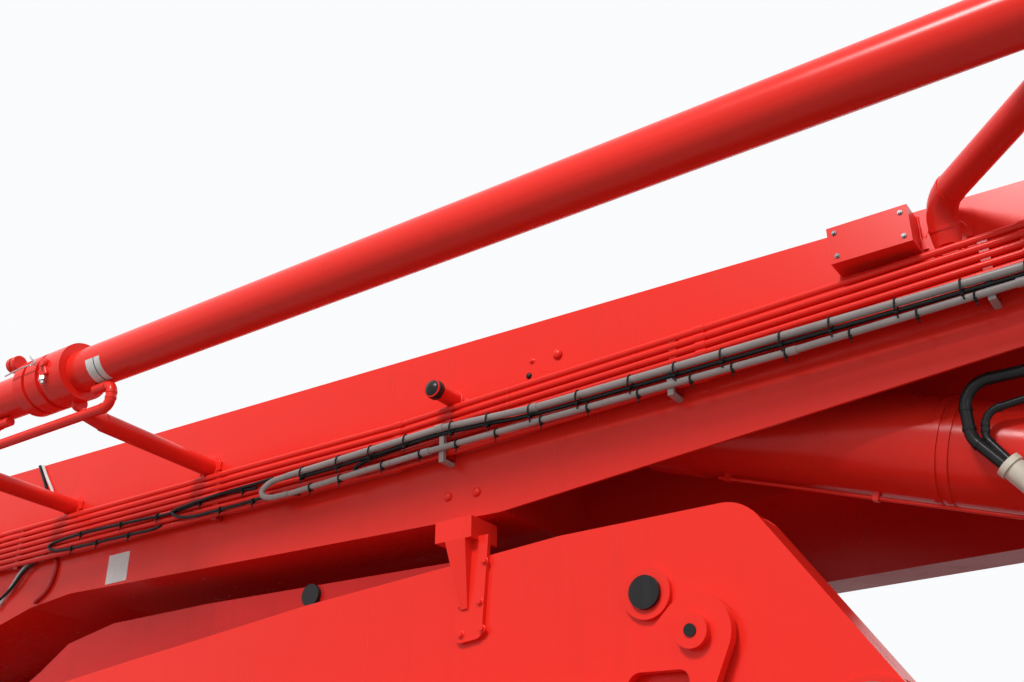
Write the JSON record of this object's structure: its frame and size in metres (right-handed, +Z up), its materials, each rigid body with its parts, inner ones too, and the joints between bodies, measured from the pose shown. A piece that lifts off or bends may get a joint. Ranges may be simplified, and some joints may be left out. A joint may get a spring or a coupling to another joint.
{
  "type": "concrete placing boom",
  "caption": "Folded placing boom of a concrete pump truck: hinged box arms lying side by side, lift and fold cylinders, and a delivery line with swivel elbows at every hinge.",
  "frame": {"origin": "centre of the first arm's base pin bore", "axes": "+X along the folded arms towards the base end, +Y across the arms, +Z up as the folded boom lies"},
  "size_m": [7.9653, 2.0089, 1.4796],
  "materials": {
    "red_paint": "gloss",
    "dark_red_paint": "gloss",
    "chromed_rod": "polished",
    "pin_steel": "satin",
    "black_conduit": "matt"
  },
  "bodies": {
    "arm_1": {"arm_1_box": "red_paint", "arm_1_lift_lug": "red_paint", "arm_1_pins": "pin_steel", "lift_eye_pin": "red_paint", "line_1_pipe": "red_paint", "line_1_clamps": "red_paint", "line_1_struts": "red_paint", "strut_console": "red_paint", "hydraulic_tubes": "red_paint", "tube_clamps": "red_paint", "cable_conduits": "black_conduit", "capped_stub": "red_paint"},
    "lift_rod_body": {"lift_rod": "chromed_rod"},
    "lift_barrel_body": {"lift_barrel": "red_paint", "lift_barrel_lines": "red_paint", "barrel_hoses": "black_conduit", "hose_fitting": "pin_steel"},
    "arm_2": {"arm_2_box": "dark_red_paint", "arm_2_cheeks": "red_paint", "arm_2_levers": "red_paint", "arm_2_pins": "pin_steel", "rest_bracket": "red_paint", "line_2_pipe": "dark_red_paint", "line_2_struts": "dark_red_paint"},
    "rocker_2_body": {"rocker_2": "red_paint"},
    "link_2_body": {"link_2": "red_paint"},
    "fold_2_barrel_body": {"fold_2_barrel": "red_paint"},
    "fold_2_rod_body": {"fold_2_rod": "chromed_rod"},
    "arm_3": {"arm_3_box": "dark_red_paint", "arm_3_hinge_tube": "pin_steel", "arm_3_pins": "pin_steel", "line_3_pipe": "dark_red_paint", "line_3_struts": "dark_red_paint"},
    "arm_4": {"arm_4_box": "dark_red_paint", "line_4_pipe": "dark_red_paint", "line_4_struts": "dark_red_paint", "end_elbow": "dark_red_paint"},
    "rocker_4_body": {"rocker_4": "red_paint"},
    "link_4_body": {"link_4": "red_paint"},
    "fold_4_barrel_body": {"fold_4_barrel": "red_paint"},
    "fold_4_rod_body": {"fold_4_rod": "chromed_rod"}
  },
  "joints": [
    {"name": "lift_stroke", "type": "slide", "parent": "lift_rod_body", "child": "lift_barrel_body", "axis": [0.9466, 0, -0.3223], "range_m": [0, 0.977]},
    {"name": "lift_rod_swing", "type": "hinge", "parent": "arm_1", "child": "lift_rod_body", "pos_m": [-2.562, 0, -0.016], "axis": [0, 1, 0], "range_deg": [-10.18, 0]},
    {"name": "arm_2_fold", "type": "hinge", "parent": "arm_1", "child": "arm_2", "pos_m": [-7.4, 0, -0.8], "axis": [0, 1, 0], "range_deg": [0, 180]},
    {"name": "rocker_2_turn", "type": "hinge", "parent": "arm_1", "child": "rocker_2_body", "pos_m": [-7.139, 0, -0.605], "axis": [0, 1, 0], "range_deg": [0, 117.62]},
    {"name": "link_2_turn", "type": "hinge", "parent": "rocker_2_body", "child": "link_2_body", "pos_m": [-7.65727, 0, -0.52122], "axis": [0, 1, 0], "range_deg": [-46.63, 0]},
    {"name": "fold_2_barrel_turn", "type": "hinge", "parent": "arm_1", "child": "fold_2_barrel_body", "pos_m": [-5.4, 0, -0.24], "axis": [0, 1, 0], "range_deg": [0, 9.44]},
    {"name": "fold_2_rod_stroke", "type": "slide", "parent": "fold_2_barrel_body", "child": "fold_2_rod_body", "axis": [-0.9923, 0, -0.1236], "range_m": [-0.8492, 0]},
    {"name": "arm_3_fold", "type": "hinge", "parent": "arm_2", "child": "arm_3", "pos_m": [-1.75, 0.42, -1.02], "axis": [0, -1, 0], "range_deg": [0, 180]},
    {"name": "arm_4_fold", "type": "hinge", "parent": "arm_3", "child": "arm_4", "pos_m": [-6.9, 0.42, -0.4], "axis": [0, -1, 0], "range_deg": [0, 180]},
    {"name": "rocker_4_turn", "type": "hinge", "parent": "arm_3", "child": "rocker_4_body", "pos_m": [-6.70425, 0.42, -0.54625], "axis": [0, -1, 0], "range_deg": [0, 117.62]},
    {"name": "link_4_turn", "type": "hinge", "parent": "rocker_4_body", "child": "link_4_body", "pos_m": [-7.09295, 0.42, -0.60908], "axis": [0, -1, 0], "range_deg": [-46.63, 0]},
    {"name": "fold_4_barrel_turn", "type": "hinge", "parent": "arm_3", "child": "fold_4_barrel_body", "pos_m": [-5.4, 0.42, -0.82], "axis": [0, -1, 0], "range_deg": [0, 9.44]},
    {"name": "fold_4_rod_stroke", "type": "slide", "parent": "fold_4_barrel_body", "child": "fold_4_rod_body", "axis": [-0.9923, 0, 0.1236], "range_m": [-0.6372, 0]}
  ],
  "couplings": [
    {"joint": "lift_rod_swing", "follows": "lift_stroke", "rad_per_m": -0.1801},
    {"joint": "rocker_2_turn", "follows": "arm_2_fold", "ratio": 0.6529},
    {"joint": "link_2_turn", "follows": "arm_2_fold", "ratio": -0.2585},
    {"joint": "fold_2_barrel_turn", "follows": "arm_2_fold", "ratio": 0.0519},
    {"joint": "fold_2_rod_stroke", "follows": "arm_2_fold", "m_per_rad": -0.27},
    {"joint": "rocker_4_turn", "follows": "arm_4_fold", "ratio": 0.6529},
    {"joint": "link_4_turn", "follows": "arm_4_fold", "ratio": -0.2585},
    {"joint": "fold_4_barrel_turn", "follows": "arm_4_fold", "ratio": 0.0519},
    {"joint": "fold_4_rod_stroke", "follows": "arm_4_fold", "m_per_rad": -0.2025}
  ]
}
